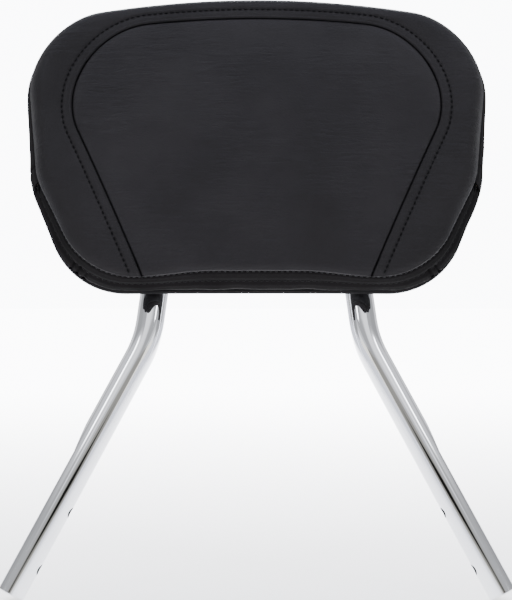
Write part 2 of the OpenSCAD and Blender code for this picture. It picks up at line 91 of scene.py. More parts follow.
class Outline:
    def __init__(self, circles, flat_h, width, bow, arch, pull=0.0):
        c = np.array(circles, float)
        a = np.radians(np.linspace(-90, 90, 721))
        reach = c[:, 0, None] * np.cos(a) + c[:, 1, None] * np.sin(a) + c[:, 2, None]
        k = reach.argmax(0)
        p = c[k, :2] + c[k, 2, None] * np.stack([np.cos(a), np.sin(a)], axis=1)
        p = np.vstack([[0, p[0, 1]], p, [0, p[-1, 1]]])
        # more points on the straight runs, so that the bow bends them smoothly
        s = np.concatenate([[0], np.cumsum(np.hypot(*np.diff(p, axis=0).T))])
        fine = np.linspace(0, s[-1], 1201)
        p = np.stack([np.interp(fine, s, p[:, 0]), np.interp(fine, s, p[:, 1])], axis=1)
        up = np.clip(p[:, 1] / flat_h, 0, 1)
        p[:, 1] += (1 - np.minimum(1, abs(p[:, 0]) / (width / 2)) ** 2) * (up * bow + (1 - up) * arch)
        # the taut middle of the lower boxing pulls the front's edge up between the panel's feet
        t = np.clip((PULL_END - abs(p[:, 0])) / (PULL_END - PULL_FULL), 0, 1)
        p[:, 1] += (1 - up) * pull * t * t * (3 - 2 * t)
        s = np.concatenate([[0], np.cumsum(np.hypot(*np.diff(p, axis=0).T))])
        self.p, self.s, self.length = p, s / s[-1], s[-1]

    def at(self, u):
        u = np.asarray(u, float)
        x = np.interp(abs(u), self.s, self.p[:, 0]) * np.where(u < 0, -1, 1)
        return np.stack([x, np.interp(abs(u), self.s, self.p[:, 1])], axis=-1)

    def outward(self, u):
        step = 0.004
        u = np.asarray(u, float)
        side = np.where(u < 0, -1, 1)
        a = np.minimum(np.maximum(abs(u), step), 1 - step)
        d = (self.at((a + step)) - self.at((a - step))) * np.stack([side, np.ones_like(a)], -1)
        n = np.stack([d[..., 1], -d[..., 0]], -1) * side[..., None]
        n = n / np.linalg.norm(n, axis=-1, keepdims=True)
        # straight down at the middle of the lower edge, straight up at the top
        near = np.clip((abs(u) - step) / step, 0, 1) * np.clip((1 - step - abs(u)) / step, 0, 1)
        level = np.stack([np.zeros_like(a), np.where(abs(u) < 0.5, -1, 1)], -1)
        n = n * near[..., None] + level * (1 - near[..., None])
        return n / np.linalg.norm(n, axis=-1, keepdims=True)


back = Outline([(100.75, 60, 60), (112.25, 98.5, 64.5), (127, FLAT_H - 53.5, 53.5)],
               FLAT_H, PAD_W, TOP_BOW, LOW_ARCH)
front = Outline([(90, 60.5, 60), (104.25, 98.5, 64.5), (122, FLAT_H - 59, 53.5)],
                FLAT_H, PAD_W, TOP_BOW, LOW_ARCH, pull=4.3)

# the panel's straight sides run from its feet and touch the circles of its shoulders
FOOT_HALF, PANEL_W, PANEL_BOW, PANEL_R, PANEL_FLAT_H = 83.5, 280.0, 13.0, 57.0, 194.0
over, above = PANEL_W / 2 - PANEL_R - FOOT_HALF, PANEL_FLAT_H - PANEL_R
touch = math.sqrt(above ** 2 + over ** 2 - PANEL_R ** 2)
SEAM_SLOPE = (above * over + PANEL_R * touch) / (above ** 2 - PANEL_R ** 2)
seam = Outline([(FOOT_HALF - 25 * SEAM_SLOPE - 10 * math.hypot(1, SEAM_SLOPE), -25, 10),
                (FOOT_HALF + over, above, PANEL_R)], PANEL_FLAT_H, PANEL_W, PANEL_BOW, 0.0)
print("round the back:", round(2 * back.length), "mm, centre seam:", round(2 * seam.length), "mm")

# %% [markdown]
# Two places on these lines matter for the sewing: the feet of the centre panel's seam on the lower
# edge, and the joints at the sides where the lower boxing is sewn to the upper one. Both are looked
# up on the outlines, so that they stay right when a size changes.

# %% feet and side joints
JOINT_H = 80.0
foot_h = 0.5 + LOW_ARCH * 0.8
FOOT_U = float(np.interp(FOOT_HALF + SEAM_SLOPE * foot_h, front.p[:300, 0], front.s[:300]))
SEAM_FOOT_Q = float(np.interp(foot_h, seam.p[60:, 1], seam.s[60:]))
JOINT_U = float(np.interp(JOINT_H, front.p[300:900, 1], front.s[300:900]))
print("foot at", front.at(FOOT_U).round(1), "joint at", front.at(JOINT_U).round(1))

# %% [markdown]
# ## The cushion's surface
# Seen from the front the pad is a low crown: it rises from a rounded rim to its middle. The rim is
# tight low down and softer at the top. A height over the flat drawing describes all of it, so one
# function can serve both front panels and keep them flush.

# %% height of the front
BACK_Z, JOIN_Z, RIM_Z, CROWN = 15.1, 28.3, 68.1, 8.0
TUCK = math.radians(10)  # how far the rim turns in under itself before the edge seam
MID = np.array([0.0, PAD_H / 2])


def lowness(h):
    t = np.clip(1 - h / (PAD_H / 2), 0, 1)
    return t * t * (3 - 2 * t)


def seam_z(h):
    return BACK_Z + 35 + 14 * lowness(h)


def round_w(h):
    return 14 - 7 * lowness(h)


def dense(outline, lo, hi, n=2400):
    return outline.at(np.linspace(lo, hi, n))


def tree_of(points):
    tree = kdtree.KDTree(len(points))
    for i, p in enumerate(points):
        tree.insert((p[0], p[1], 0), i)
    tree.balance()
    return tree


EDGE = dense(front, -1, 1, 5000)
edge_tree = tree_of(EDGE)
SEAM = np.vstack([dense(seam, -1, -SEAM_FOOT_Q), dense(seam, SEAM_FOOT_Q, 1)])
seam_tree = tree_of(SEAM)
EDGE_ANGLE = np.arctan2(*(EDGE - MID).T[::-1])
order = EDGE_ANGLE.argsort()
EDGE_ANGLE, EDGE_REACH = EDGE_ANGLE[order], np.linalg.norm(EDGE - MID, axis=1)[order]


def distances(points, tree, of):
    found = [tree.find((p[0], p[1], 0)) for p in points]
    return np.array([f[2] for f in found]), of[[f[1] for f in found]]


def front_height(points):
    """Height of the plain front, distance in from its edge, and the nearest edge point's h."""
    inset, near = distances(points, edge_tree, EDGE)
    w = round_w(near[:, 1])
    cosa = np.clip(math.cos(TUCK) - inset / w, 0, 1)
    sina = np.sqrt(1 - cosa ** 2)
    z0 = seam_z(near[:, 1])
    z = z0 + (RIM_Z - z0) * (sina + math.sin(TUCK)) / (1 + math.sin(TUCK))
    v = points - MID
    rho = np.linalg.norm(v, axis=1) / np.interp(np.arctan2(v[:, 1], v[:, 0]), EDGE_ANGLE, EDGE_REACH,
                                                period=2 * math.pi)
    return z + CROWN * np.clip(1 - rho ** 2, 0, 1), inset, near[:, 1]


print("middle of the front is", front_height(MID[None] + 0.01)[0].round(1), "mm before the tube's axis")

# %% [markdown]
# ## The cushion
# Under the leather lies a block of foam. It starts as a closed body a little smaller than the
# cover, made of rings: up the wall, round the rim and in over the front. A voxel remesh gives it an
# even skin, and a cloth simulation with pressure lets that skin swell between the places where the
# cover is sewn down. The swelling is at most a few millimetres, and the leather later follows it.

# %% a closed body under the cover
UNDER, BELOW = 4.0, 4.2  # the foam's distance from the cover's wall and from its front


def cushion_body():
    u = np.linspace(-1, 1, 141)[:-1]
    b, f, n = back.at(u), front.at(u), front.outward(u)
    low_z = JOIN_Z + 0.4
    rings = []
    for v in np.linspace(0, 1, 9):
        rings.append(np.column_stack([b + (f - b) * v - n * UNDER,
                                      low_z + (seam_z(f[:, 1]) - JOIN_Z - 2) * v]))
    for share in (1.0, 0.985, 0.96, 0.92, 0.86, 0.78, 0.68, 0.56, 0.42, 0.26, 0.1):
        plan = MID + (f - n * UNDER - MID) * share
        valley = 2.5 * np.exp(-(distances(plan, seam_tree, SEAM)[0] / 8) ** 2)
        rings.append(np.column_stack([plan, front_height(plan)[0] - BELOW - valley]))
    middle = front_height(MID[None])[0][0] - BELOW
    points = np.vstack(rings + [[[*MID, middle], [*MID, low_z]]])
    m, top, low = len(u), len(points) - 2, len(points) - 1
    faces = [(r * m + i, r * m + (i + 1) % m, (r + 1) * m + (i + 1) % m, (r + 1) * m + i)
             for r in range(len(rings) - 1) for i in range(m)]
    faces += [((len(rings) - 1) * m + i, (len(rings) - 1) * m + (i + 1) % m, top) for i in range(m)]
    faces += [((i + 1) % m, i, low) for i in range(m)]
    mesh = bpy.data.meshes.new("foam_cushion")
    mesh.from_pydata(stand_up(points).tolist(), [], faces)
    mesh.update()
    body = bpy.data.objects.new("foam_cushion", mesh)
    bpy.context.collection.objects.link(body)
    return body


def lie_flat(mesh):
    """The mesh's points, back on the flat drawing in millimetres."""
    p = np.empty(len(mesh.vertices) * 3)
    mesh.vertices.foreach_get("co", p)
    p = p.reshape(-1, 3) * 1000
    up, out = math.cos(LEAN), math.sin(LEAN)
    return np.column_stack([p[:, 0], p[:, 1] * out + p[:, 2] * up - PAD_LIFT, p[:, 2] * out - p[:, 1] * up])


def select_only(piece):
    bpy.ops.object.select_all(action="DESELECT")
    piece.select_set(True)
    bpy.context.view_layer.objects.active = piece


cushion = cushion_body()
select_only(cushion)
remesh = cushion.modifiers.new("even_skin", "REMESH")
remesh.mode, remesh.voxel_size = "VOXEL", 0.005
bpy.ops.object.modifier_apply(modifier=remesh.name)
print("cushion:", len(cushion.data.vertices), "points after the remesh")

# %% [markdown]
# Foam under a tight cover pushes it out between the seams. A noise could fake this, but Blender's
# Cloth finds the true shape: the skin is held by a vertex group where it is sewn, gets a little
# pressure from inside and no gravity, and runs for 20 frames. What it moves is capped, and kept as a
# map over the front, which the leather reads later.

# %% let the skin swell
SWELL_CAP, SKIN_DEPTH = 5.0, 8.0
swell_tree, swell_size = None, None
before = lie_flat(cushion.data)
inset = distances(before[:, :2], edge_tree, EDGE)[0]
sewn_d = distances(before[:, :2], seam_tree, SEAM)[0]
held = np.maximum(np.clip(1.4 - inset / 22, 0, 1), np.clip(1.5 - sewn_d / 16, 0, 1))
skin = before[:, 2] > front_height(before[:, :2])[0] - SKIN_DEPTH
held[~skin] = 1
group = cushion.vertex_groups.new(name="sewn")
for weight in range(1, 21):
    chosen = np.flatnonzero(np.round(held * 20) == weight)
    group.add(chosen.tolist(), weight / 20, "REPLACE")
cloth = cushion.modifiers.new("skin", "CLOTH")
cloth.settings.vertex_group_mass = group.name
cloth.settings.use_pressure = True
cloth.settings.uniform_pressure_force = 4.0
cloth.settings.effector_weights.gravity = 0.0
for frame_no in range(1, 21):
    bpy.context.scene.frame_set(frame_no)
bpy.ops.object.modifier_apply(modifier=cloth.name)
bpy.context.scene.frame_set(1)
moved = lie_flat(cushion.data) - before
far = np.linalg.norm(moved, axis=1)
moved *= np.minimum(1, SWELL_CAP / np.maximum(far, 1e-6))[:, None]
cushion.data.vertices.foreach_set("co", stand_up(before + moved).ravel())
cushion.vertex_groups.clear()
swell_tree, swell_size = tree_of(before[skin][:, :2]), moved[skin][:, 2]
print("swelling: up to", round(far.max(), 1), "mm,",
      "mean on the front", round(swell_size.mean(), 2), "mm")
finer = cushion.modifiers.new("finer", "SUBSURF")
finer.levels = finer.render_levels = 1
select_only(cushion)
bpy.ops.object.modifier_apply(modifier=finer.name)
bpy.ops.object.shade_smooth()


def swelling(points):
    """How far the skin has swelled at these places of the front, in mm."""
    if swell_tree is None:
        return np.zeros(len(points))
    out = np.empty(len(points))
    for i, p in enumerate(points):
        near = swell_tree.find_n((p[0], p[1], 0), 5)
        out[i] = sum(swell_size[k] / (d + 1) for _, k, d in near) / sum(1 / (d + 1) for _, k, d in near)
    return out


# %% [markdown]
# ## Sheets of leather
# Every panel starts as a flat grid, one of Blender's primitives, and is carried onto the cushion
# vertex by vertex, as a cut panel is pulled over the foam. `sheet` adds the grid and moves it. It
# also keeps a value per vertex, which says how much shade is painted at a point: in the seams, in
# the folds and under the rim. The leather later darkens its colour by it, as painted shade.

# %% a grid primitive carried onto the pad
def sheet(name, points, dark):
    """points: rows x columns x 3, on the flat drawing, seen from outside with columns to the right."""
    rows, cols = points.shape[:2]
    bpy.ops.object.select_all(action="DESELECT")
    bpy.ops.mesh.primitive_grid_add(x_subdivisions=cols - 1, y_subdivisions=rows - 1, size=1)
    piece = bpy.context.object
    piece.name = name
    piece.data.vertices.foreach_set("co", stand_up(points).ravel())
    # painted shade: how much the leather's colour is darkened here, in seams, folds and under the rim
    values = piece.data.attributes.new("painted_shade", "FLOAT", "POINT")
    values.data.foreach_set("value", np.asarray(dark, float).ravel())
    bpy.ops.object.shade_smooth()
    piece.data.update()
    thick = piece.modifiers.new("leather", "SOLIDIFY")
    thick.thickness, thick.offset = 0.0012, -1.0
    bpy.ops.object.modifier_apply(modifier=thick.name)
    return piece


def spread(n, tight_low, tight_high):
    """n shares from 0 to 1, closer together at the ends by the given factors."""
    t = np.linspace(0, 1, n)
    rate = 1 / (1 + tight_low * np.exp(-t / 0.06) + tight_high * np.exp(-(1 - t) / 0.06))
    s = np.concatenate([[0], np.cumsum((rate[1:] + rate[:-1]) / 2)])
    return s / s[-1]


# %% [markdown]
# The seam of the centre panel is a valley with two soft shoulders. Eight millimetres outside it runs
# a row of top stitches, which pulls the leather down in a shallow channel and holds the strip
# between them flat. `sewn` works this relief out from the distance to the seam.

# %% relief of the sewing on the front
STITCH_D = 8.2


def sewn(points, inset, side):
    """Relief in mm and painted shade near the seam; side is 1 on the border and -1 on the centre."""
    d = distances(points, seam_tree, SEAM)[0]
    relief = -1.4 * np.exp(-d / 0.65) - 0.5 * np.exp(-(d / 4.0) ** 2)
    # painted shade in the seam's groove
    dark = np.exp(-(d / 0.72) ** 2)
    if side > 0:
        relief = relief + 0.5 * np.exp(-((d - 1.5) / 0.65) ** 2)
        relief = relief - 0.45 * np.exp(-((d - STITCH_D) / 1.1) ** 2)
        relief = relief + 0.25 * np.exp(-((d - 4.2) / 2.4) ** 2)
        open_w = np.maximum(d + inset - STITCH_D, 1)
        puff = 1.6 * np.sin(np.pi * np.clip((d - STITCH_D) / open_w, 0, 1))
        relief = relief + np.where(d > STITCH_D, puff, 0) * np.clip(open_w / 30, 0, 1)
    return relief, dark


middle_of_border = (front.at(np.array([0.5])) + seam.at(np.array([0.5]))) / 2
print("the border puffs up by", sewn(middle_of_border, np.array([12.0]), 1)[0].round(2), "mm halfway")

# %% [markdown]
# ### The border panel
# The border is a horseshoe of leather from foot to foot round the centre panel, and it turns in over
# the rim to the edge seam. A flat sheet projected from the front would stretch at the rim, so its
# columns run across the horseshoe, from the centre seam to the edge, along smooth curves that leave
# both lines at a right angle, and a few rows more follow the rim round. At the seam a lip reaches
# down and across, so that no light falls through the seam.

# %% the border panel
LIP_DEPTH, LIP_REACH = 4.0, 0.7


def tuck_rows(u, angles):
    """Rows that turn in under the rim down to the edge seam."""
    f, n = front.at(u), front.outward(u)
    w, z0 = round_w(f[:, 1]), seam_z(f[:, 1])
    out = []
    for a in angles:
        flat = f + n * (w * (math.cos(a) - math.cos(TUCK)))[:, None]
        z = z0 + 0.2 + (RIM_Z - z0) * (math.sin(a) + math.sin(TUCK)) / (1 + math.sin(TUCK))
        out.append(np.column_stack([flat, z]))
    sink = -n * 2.2
    first = out[0] + np.column_stack([sink, np.zeros(len(u))])
    return np.array([first] + out)


TUCK_ANGLES = np.radians([-10, -7, -4, 0, 4, 7])


def front_rows(plan, side):
    """plan: rows x columns x 2 on the front. Returns the relief-carrying points and their painted shade."""
    flat = plan.reshape(-1, 2)
    z, inset, _ = front_height(flat)
    relief, dark = sewn(flat, inset, side)
    # painted shade where the front rolls over into the rim
    dark = np.maximum(dark, 0.45 * np.exp(-(inset / 1.5) ** 2))
    z = z + relief + swelling(flat) * np.clip(inset / 12, 0, 1)
    return np.column_stack([flat, z]).reshape(*plan.shape[:2], 3), dark.reshape(plan.shape[:2])


def border():
    t = spread(760, 2.0, 2.0)
    u = FOOT_U + t * (2 - 2 * FOOT_U)
    u = np.where(u > 1, u - 2, u)
    q = SEAM_FOOT_Q + t * (2 - 2 * SEAM_FOOT_Q)
    q = np.where(q > 1, q - 2, q)
    f, s, n, m = front.at(u), seam.at(q), front.outward(u), seam.outward(q)
    length = np.linalg.norm(f - s, axis=1)
    hand = (length / 3)[:, None]
    w = spread(46, 3.5, 2.5)[:, None, None]
    plan = ((1 - w) ** 3 * s + 3 * (1 - w) ** 2 * w * (s + m * hand)
            + 3 * (1 - w) * w ** 2 * (f - n * hand) + w ** 3 * f)
    plan[0] += m * 0.12
    top, dark = front_rows(plan[:-1], 1)
    lip = top[:1] - np.column_stack([m * LIP_REACH, np.full(len(u), LIP_DEPTH)])
    tuck = tuck_rows(u, TUCK_ANGLES)[::-1]
    rows = np.concatenate([lip, top, tuck])
    all_along = np.ones((1, len(u)))
    # painted shade: the lip down in the seam is fully dark, and the rows that turn in under the rim darken
    darks = np.concatenate([all_along, dark, np.linspace(0, 1, len(tuck))[:, None] ** 3 * all_along])
    return sheet("border_leather", rows[:, ::-1], darks[:, ::-1])


border_leather = border()
print("border leather:", len(border_leather.data.polygons), "faces")


# %% [markdown]
# ### The centre panel
# The centre panel has four sides: the lower edge between the feet, two slanted sides and a top with
# round corners. Four boundary lines can be filled with a Coons patch: two straight blends, less the
# one between the corners. Its rows then follow all four sides, so the seam's valley gets even faces
# along its whole length, which a plain square grid with a cut edge wouldn't give.

# %% the centre panel
def centre():
    p, rise = spread(236, 3.0, 3.0), spread(172, 1.5, 3.0)
    corner = 0.66
    across = 2 * p - 1
    low = front.at(across * FOOT_U)
    top = seam.at(np.where(across < 0, -1, 1) * (1 - (1 - corner) * abs(across)))
    right = seam.at(SEAM_FOOT_Q + (corner - SEAM_FOOT_Q) * rise)
    left = right * [-1, 1]
    pp, r = p[None, :, None], rise[:, None, None]
    plan = ((1 - r) * low[None] + r * top[None] + (1 - pp) * left[:, None] + pp * right[:, None]
            - (1 - r) * ((1 - pp) * left[0] + pp * right[0]) - r * ((1 - pp) * left[-1] + pp * right[-1]))
    plan[:, 0] += [0.12, 0]
    plan[:, -1] -= [0.12, 0]
    plan[-1] -= [0, 0.12]
    body, dark = front_rows(plan[1:], -1)
    tuck = tuck_rows(across * FOOT_U, TUCK_ANGLES)
    lip = body[-1:] - [0, -LIP_REACH, LIP_DEPTH]
    rows = np.concatenate([tuck, body, lip])
    all_along = np.ones((1, len(p)))
    # painted shade: the rows that turn in under the rim darken, and the lip in the seam is fully dark
    darks = np.concatenate([np.linspace(1, 0, len(tuck))[:, None] ** 3 * all_along, dark, all_along])
    side = np.stack([rows[:, 0] - [LIP_REACH, 0, LIP_DEPTH],
                     rows[:, -1] - [-LIP_REACH, 0, LIP_DEPTH]], axis=1)
    rows = np.concatenate([side[:, :1], rows, side[:, 1:]], axis=1)
    # painted shade: the side lips down in the seam are fully dark
    darks = np.pad(darks, ((0, 0), (1, 1)), constant_values=1)
    return sheet("centre_leather", rows, darks)


centre_leather = centre()
print("centre leather:", len(centre_leather.data.polygons), "faces")

# %% [markdown]
# ## The boxing
# The boxing is the strip round the pad's edge. The lower half is sewn in two layers: a flat strip
# next to the edge seam, a row of top stitches, and a soft roll behind them. The upper half is one
# plain strip. Both could be extruded and bevelled, but a strip of leather is never that even, so its
# offsets from a straight wall are given by a few points and read off smoothly, and folds are pressed
# in where the strip is gathered round the lower corners and joined at the sides.

# %% lower and upper boxing
def smooth_profile(at, points):
    at = np.asarray(at)
    x, y = np.array(points, float).T
    k = np.clip(np.searchsorted(x, at, side="right") - 1, 0, len(x) - 2)
    t = np.clip((at - x[k]) / (x[k + 1] - x[k]), 0, 1)
    t = t * t * (3 - 2 * t)
    return y[k] * (1 - t) + y[k + 1] * t


# share of the way from the binding to the front's edge, and how far the leather stands out there, mm
LOWER_PROFILE = [(0, -2.0), (0.03, -0.8), (0.12, 1.6), (0.26, 2.9), (0.39, 2.2), (0.47, 0.3),
                 (0.5, -0.5), (0.54, 0.4), (0.72, 1.4), (0.9, 0.9), (0.965, -0.3), (1, -2.2)]
UPPER_PROFILE = [(0, -2.0), (0.03, -0.8), (0.2, 1.6), (0.5, 2.6), (0.8, 1.7), (0.95, 0.3), (1, -2.2)]
STITCH_V, BOX_DEPTH = 0.5, 34
MM = front.length
# folds: side, start (mm below the side joint, share of the way), end, depth, width
FOLDS = [(-1, 2.5, 0.97, 10.0, 0.52, 1.1, 1.7), (-1, 1.0, 0.5, 8.0, 0.05, 0.9, 1.7),
         (1, 2.0, 0.95, 9.0, 0.52, 1.0, 1.7), (1, 1.0, 0.45, 7.0, 0.05, 0.9, 1.7),
         (-1, 66.0, 0.0, 68.0, 0.45, 1.2, 1.6), (-1, 71.0, 0.0, 74.0, 0.5, 1.4, 1.7),
         (-1, 77.5, 0.0, 80.0, 0.4, 1.1, 1.6), (1, 69.0, 0.0, 71.5, 0.45, 1.2, 1.6),
         (1, 75.0, 0.0, 78.0, 0.5, 1.3, 1.7), (-1, -14.0, 0.1, -14.5, 1.0, 0.8, 1.4),
         (1, -16.5, 0.1, -16.0, 1.0, 0.8, 1.4)]


def folded(u, v):
    """How deep the folds and the side joint pull the boxing in, in mm, and how much shade is painted in them.
    """
    below = (JOINT_U - abs(u)) * MM
    depth, dark = np.zeros((len(v), len(u))), np.zeros((len(v), len(u)))
    for side, s0, v0, s1, v1, deep, wide in FOLDS:
        a, d = np.array([s0, v0 * BOX_DEPTH]), np.array([s1 - s0, (v1 - v0) * BOX_DEPTH])
        p = np.stack(np.broadcast_arrays(below[None], v[:, None] * BOX_DEPTH), -1) - a
        t = np.clip(p @ d / (d @ d), 0, 1)
        gap = np.linalg.norm(p - t[..., None] * d, axis=-1)
        on = (np.sign(u) == side)[None] * np.exp(-(gap / wide) ** 2)
        depth += on * deep
        # painted shade in each fold
        dark += on * 0.55
    joint = np.exp(-(below / 1.1) ** 2)[None]
    # painted shade in the side joint
    return depth + joint * 1.6, dark + joint * 0.9


def boxing_points(u, v, profile):
    b, f, n = back.at(u), front.at(u), front.outward(u)
    off = smooth_profile(v, profile)[:, None] - folded(u, v)[0]
    # soft waviness of a strip that is a little too long for its seam
    wave = 0.35 * np.sin(u * MM / 9.0 + 1.3 * np.sin(u * 11)) + 0.25 * np.sin(u * MM / 4.3 + 2.0)
    off = off + wave * (np.sin(np.pi * np.clip(v / STITCH_V, 0, 1)) * 0.8)[:, None]
    flat = b + (f - b) * v[:, None, None] + n * off[..., None]
    z = JOIN_Z + 0.15 + (seam_z(f[:, 1]) - JOIN_Z - 0.3) * v[:, None]
    return np.concatenate([flat, z[..., None]], axis=2)


def boxing(name, u, profile, v):
    rows = boxing_points(u, v, profile)
    # painted shade in the edge seams at both ends of the strip
    dark = np.exp(-(v / 0.014) ** 2) + np.exp(-((1 - v) / 0.03) ** 2)
    if profile is LOWER_PROFILE:
        # painted shade in the stitch line, and on the flat strip before it, which lies in the shade of the rim
        dark = dark + 0.45 * np.exp(-((v - STITCH_V) / 0.013) ** 2)
        dark = dark + 0.4 * np.clip((v - STITCH_V - 0.02) / 0.08, 0, 1)
    return sheet(name, rows, dark[:, None] + folded(u, v)[1])


near_seams = [0.01, 0.015, 0.035, 0.475, 0.485, 0.495, 0.505, 0.515, 0.53, 0.985, 0.99]
v_lower = np.sort(np.concatenate([np.linspace(0, 1, 40), near_seams]))
u_lower = np.linspace(-JOINT_U, JOINT_U, 620)
lower_leather = boxing("lower_boxing_leather", u_lower, LOWER_PROFILE, v_lower)
t = np.linspace(JOINT_U, 2 - JOINT_U, 460)
u_upper = np.where(t > 1, t - 2, t)
upper_leather = boxing("upper_boxing_leather", u_upper, UPPER_PROFILE, np.linspace(0, 1, 26))
print("boxing:", len(lower_leather.data.polygons) + len(upper_leather.data.polygons), "faces")

# %% [markdown]
# ## The binding
# Behind the boxing a narrow strip is pulled round the edge of the board, down to its back, where
# staples hold it under the back cover. Its section is a short list of points, outward from the back
# outline and in depth, and the strip is that section carried once round the pad. A curve with a bevel
# profile would do the same, but it would twist at the tight corners.

# %% edge binding
BINDING = [(-3.0, 28.1), (-0.4, 28.15), (0.5, 27.6), (1.0, 26), (1.25, 23.5), (1.15, 21), (0.7, 19),
           (0, 17.9), (-0.8, 17.1), (-1.9, 16.8), (-5, 16.75), (-10, 16.7), (-14, 16.7),
           (-17.6, 16.75), (-17.8, 17.8)]


def binding():
    section = np.array(BINDING)
    u = np.linspace(-1, 1, 640)
    b, n = back.at(u), back.outward(u)
    rows = np.stack([np.column_stack([b + n * o, np.full(len(u), z)]) for o, z in section])[::-1]
    # painted shade in the seam where the binding meets the boxing
    dark = np.exp(-((section[::-1, 1] - 28.1) / 0.35) ** 2)
    piece = sheet("binding_leather", rows, dark[:, None] * np.ones((1, len(u))))
    bpy.ops.object.mode_set(mode="EDIT")
    bpy.ops.mesh.select_all(action="SELECT")
    bpy.ops.mesh.remove_doubles(threshold=0.00002)
    bpy.ops.object.mode_set(mode="OBJECT")
    return piece


binding_leather = binding()
print("binding:", len(binding_leather.data.polygons), "faces")

# %% [markdown]
# ## Thread
# Bonded thread shows as short beads that dive into the leather between two needle holes. Every row
# is one stitch, a small flattened sphere of a few dozen faces, repeated by an Array along a curve that
# lies on the leather. Both modifiers are applied, so that the stitches are a mesh like the rest. The
# needle holes are 4.4 mm apart, and the finer rows show where the thread of a seam glints: their paler
# thread is a painted highlight.

# %% rows of stitches
def thread_row(name, path, pitch, size):
    """path: points on the flat drawing in mm; size: a stitch's length, width and height in mm."""
    world_path = stand_up(path)
    step = np.linalg.norm(np.diff(world_path, axis=0), axis=1)
    curve = bpy.data.curves.new(name + "_path", "CURVE")
    curve.dimensions = "3D"
    line = curve.splines.new("POLY")
    line.points.add(len(world_path) - 1)
    line.points.foreach_set("co", np.column_stack([world_path, np.ones(len(world_path))]).ravel())
    guide = bpy.data.objects.new(name + "_path", curve)
    bpy.context.collection.objects.link(guide)
    bpy.ops.object.select_all(action="DESELECT")
    bpy.ops.mesh.primitive_uv_sphere_add(segments=8, ring_count=6, radius=0.5)
    row = bpy.context.object
    row.name = name
    bpy.ops.object.mode_set(mode="EDIT")
    bpy.ops.mesh.select_all(action="SELECT")
    bpy.ops.transform.rotate(value=math.pi / 2, orient_axis="Y")
    bpy.ops.transform.resize(value=tuple(v / 1000 for v in size))
    bpy.ops.transform.translate(value=(pitch / 2000, 0, 0))
    bpy.ops.object.mode_set(mode="OBJECT")
    bpy.ops.object.shade_smooth()
    many = row.modifiers.new("repeat", "ARRAY")
    many.fit_type, many.count = "FIXED_COUNT", int(step.sum() * 1000 / pitch)
    many.use_relative_offset, many.use_constant_offset = False, True
    many.constant_offset_displace = (pitch / 1000, 0, 0)
    bend = row.modifiers.new("follow", "CURVE")
    bend.object, bend.deform_axis = guide, "POS_X"
    bpy.ops.object.modifier_apply(modifier=many.name)
    bpy.ops.object.modifier_apply(modifier=bend.name)
    bpy.data.objects.remove(guide)
    print(name + ":", int(step.sum() * 1000 / pitch), "stitches")
    return row


def ring_path(lo, hi, v, profile, lift, n=700):
    u = np.linspace(lo, hi, n)
    u = np.where(u > 1, u - 2, u)
    p = boxing_points(u, np.array([v]), profile)[0]
    return p + np.column_stack([front.outward(u) * lift, np.zeros(n)])


q = SEAM_FOOT_Q - 0.02 + np.linspace(0.0, 1, 900) * (2.04 - 2 * SEAM_FOOT_Q)
q = np.where(q > 1, q - 2, q)
plan = seam.at(q) + seam.outward(q) * STITCH_D
plan = plan[plan[:, 1] > front.at(FOOT_U)[1] + 0.9]
height, inset, _ = front_height(plan)
height = height + sewn(plan, inset, 1)[0] + swelling(plan) + 0.25
top_thread = thread_row("top_stitch_thread", np.column_stack([plan, height]), 4.4, (3.2, 2.2, 0.9))

GLINT = (2.4, 0.5, 0.5)
short = 0.012  # the finer rows end this share of the outline before the side joints
low_path = ring_path(-JOINT_U + short, JOINT_U - short, 0.955, LOWER_PROFILE, 0.15)
edge_low_thread = thread_row("edge_thread_lower", low_path, 4.2, GLINT)
top_path = ring_path(JOINT_U + short, 2 - JOINT_U - short, 0.95, UPPER_PROFILE, 0.15)
edge_top_thread = thread_row("edge_thread_upper", top_path, 4.2, GLINT)
box_path = ring_path(-JOINT_U + 0.004, JOINT_U - 0.004, STITCH_V, LOWER_PROFILE, 0.35)
box_thread = thread_row("boxing_thread", box_path, 4.4, (3.1, 1.7, 1.0))

# %% [markdown]
# ## Finishes
# Every finish below is a node tree. Building one in code is long-winded, so `Wire` wraps a node's
# output and lets shader maths read like plain maths: `rough + 0.1 * noise` makes the Math nodes by
# itself. Its `node` method adds any other node and plugs values or wires in.

# %% a small helper for shader nodes
class Wire:
    def __init__(self, tree, socket=None):
        self.tree, self.socket = tree, socket

    def node(self, kind, out=0, put=None, **settings):
        made = self.tree.nodes.new(kind)
        for key, value in settings.items():
            setattr(made, key, value)
        for key, value in (put or {}).items():
            if isinstance(value, Wire):
                self.tree.links.new(value.socket, made.inputs[key])
            else:
                made.inputs[key].default_value = value
        self.made = made
        return Wire(self.tree, made.outputs[out])

    def maths(self, operation, a, b=0.0):
        return self.node("ShaderNodeMath", put={0: a, 1: b}, operation=operation)

    def __add__(self, other):
        return self.maths("ADD", self, other)

    def __mul__(self, other):
        return self.maths("MULTIPLY", self, other)

    def __sub__(self, other):
        return self.maths("SUBTRACT", self, other)

    def __rsub__(self, other):
        return self.maths("SUBTRACT", other, self)

    __radd__, __rmul__ = __add__, __mul__

    def between(self, low, high, out_low=0.0, out_high=1.0, kind="SMOOTHSTEP"):
        return self.node("ShaderNodeMapRange", put={"Value": self, "From Min": low, "From Max": high,
                                                    "To Min": out_low, "To Max": out_high},
                         interpolation_type=kind)

    def blend(self, a, b):
        """Colour a where this is 0 and b where it is 1."""
        mix = self.tree.nodes.new("ShaderNodeMix")
        mix.data_type = "RGBA"
        self.tree.links.new(self.socket, mix.inputs[0])
        for slot, value in ((6, a), (7, b)):
            if isinstance(value, Wire):
                self.tree.links.new(value.socket, mix.inputs[slot])
            else:
                mix.inputs[slot].default_value = (*value, 1)
        return Wire(self.tree, mix.outputs[2])


